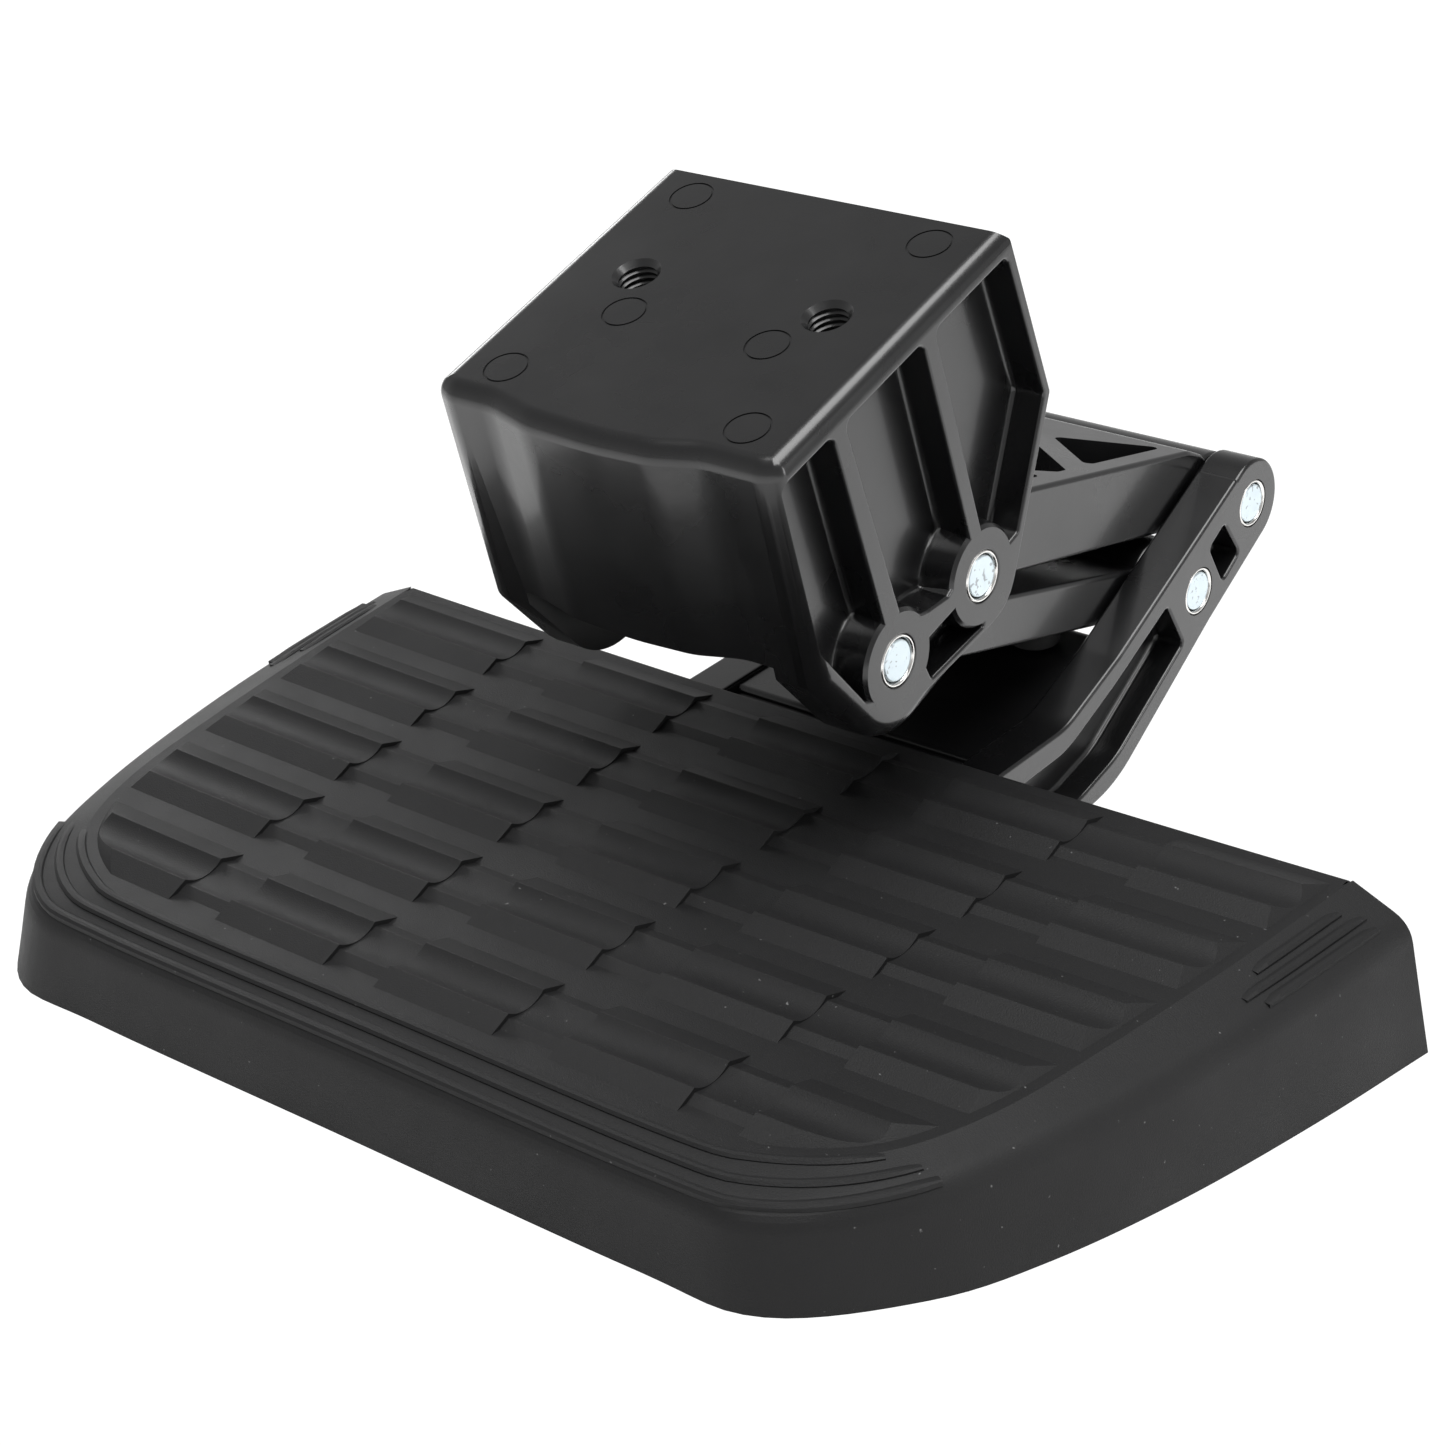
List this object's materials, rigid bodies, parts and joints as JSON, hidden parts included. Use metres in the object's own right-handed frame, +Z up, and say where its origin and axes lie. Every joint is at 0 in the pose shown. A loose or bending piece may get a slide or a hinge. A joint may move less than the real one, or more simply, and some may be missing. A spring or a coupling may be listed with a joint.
{
  "type": "tailgate step",
  "caption": "Retractable tailgate step: a ribbed cast housing bolts under the bumper and two links carry a goose-neck arm with a moulded non-slip tread.",
  "frame": {"origin": "on the floor under the middle of the bounding box, with the step standing on the level lower rim of its tread, as stored on a table", "axes": "+X across the step, +Y from the user towards the vehicle, +Z up"},
  "size_m": [0.3606, 0.327, 0.1854],
  "materials": {
    "cast_black": "die-cast aluminium under satin-gloss black powder coat",
    "tread_plastic": "fine-grained matte black moulding",
    "frame_steel": "black powder-coated pressed steel",
    "zinc_steel": "bright zinc plate",
    "polished_steel": "ground steel",
    "bush_polymer": "dark grey bearing polymer",
    "spring_steel": "oil-darkened spring wire",
    "rubber": "matte black rubber"
  },
  "bodies": {
    "housing": {"mount_housing": "cast_black", "housing_upper_sleeve_left": "polished_steel", "housing_upper_sleeve_right": "polished_steel", "housing_lower_sleeve_left": "polished_steel", "housing_lower_sleeve_right": "polished_steel"},
    "lower_link": {"lower_link": "cast_black", "housing_lower_pin": "zinc_steel", "housing_lower_bush_left": "bush_polymer", "housing_lower_bush_right": "bush_polymer", "arm_lower_bush_left": "bush_polymer", "arm_lower_bush_right": "bush_polymer", "torsion_spring_left": "spring_steel", "torsion_spring_right": "spring_steel"},
    "upper_link": {"upper_link": "cast_black", "housing_upper_pin": "zinc_steel", "housing_upper_bush_left": "bush_polymer", "housing_upper_bush_right": "bush_polymer", "arm_upper_bush_left": "bush_polymer", "arm_upper_bush_right": "bush_polymer"},
    "swing_arm": {"swing_arm": "cast_black", "arm_upper_pin": "zinc_steel", "arm_lower_pin": "zinc_steel", "arm_upper_sleeve_left": "polished_steel", "arm_upper_sleeve_right": "polished_steel", "arm_lower_sleeve_left": "polished_steel", "arm_lower_sleeve_right": "polished_steel", "stow_bumper_left": "rubber", "stow_bumper_right": "rubber", "step_frame": "frame_steel", "tread_cover": "tread_plastic", "frame_rail_left": "frame_steel", "frame_rail_right": "frame_steel", "foot_bolt_front_left": "zinc_steel", "foot_bolt_front_right": "zinc_steel", "foot_bolt_rear_left": "zinc_steel", "foot_bolt_rear_right": "zinc_steel", "cover_screw_1": "zinc_steel", "cover_screw_2": "zinc_steel", "cover_screw_3": "zinc_steel", "cover_screw_4": "zinc_steel", "cover_screw_5": "zinc_steel", "cover_screw_6": "zinc_steel"}
  },
  "joints": [
    {"name": "lower_link_swing", "type": "hinge", "parent": "housing", "child": "lower_link", "pos_m": [0, -0.01972, 0.08738], "axis": [-1, 0, 0], "range_deg": [0, 90]},
    {"name": "upper_link_swing", "type": "hinge", "parent": "housing", "child": "upper_link", "pos_m": [0, 0.01576, 0.09845], "axis": [-1, 0, 0], "range_deg": [0, 97]},
    {"name": "arm_swing", "type": "hinge", "parent": "lower_link", "child": "swing_arm", "pos_m": [0, 0.12336, 0.0598], "axis": [-1, 0, 0], "range_deg": [-95, 0]}
  ],
  "couplings": [
    {"joint": "upper_link_swing", "follows": "lower_link_swing", "ratio": 1.0772},
    {"joint": "arm_swing", "follows": "lower_link_swing", "ratio": -1.0541}
  ]
}
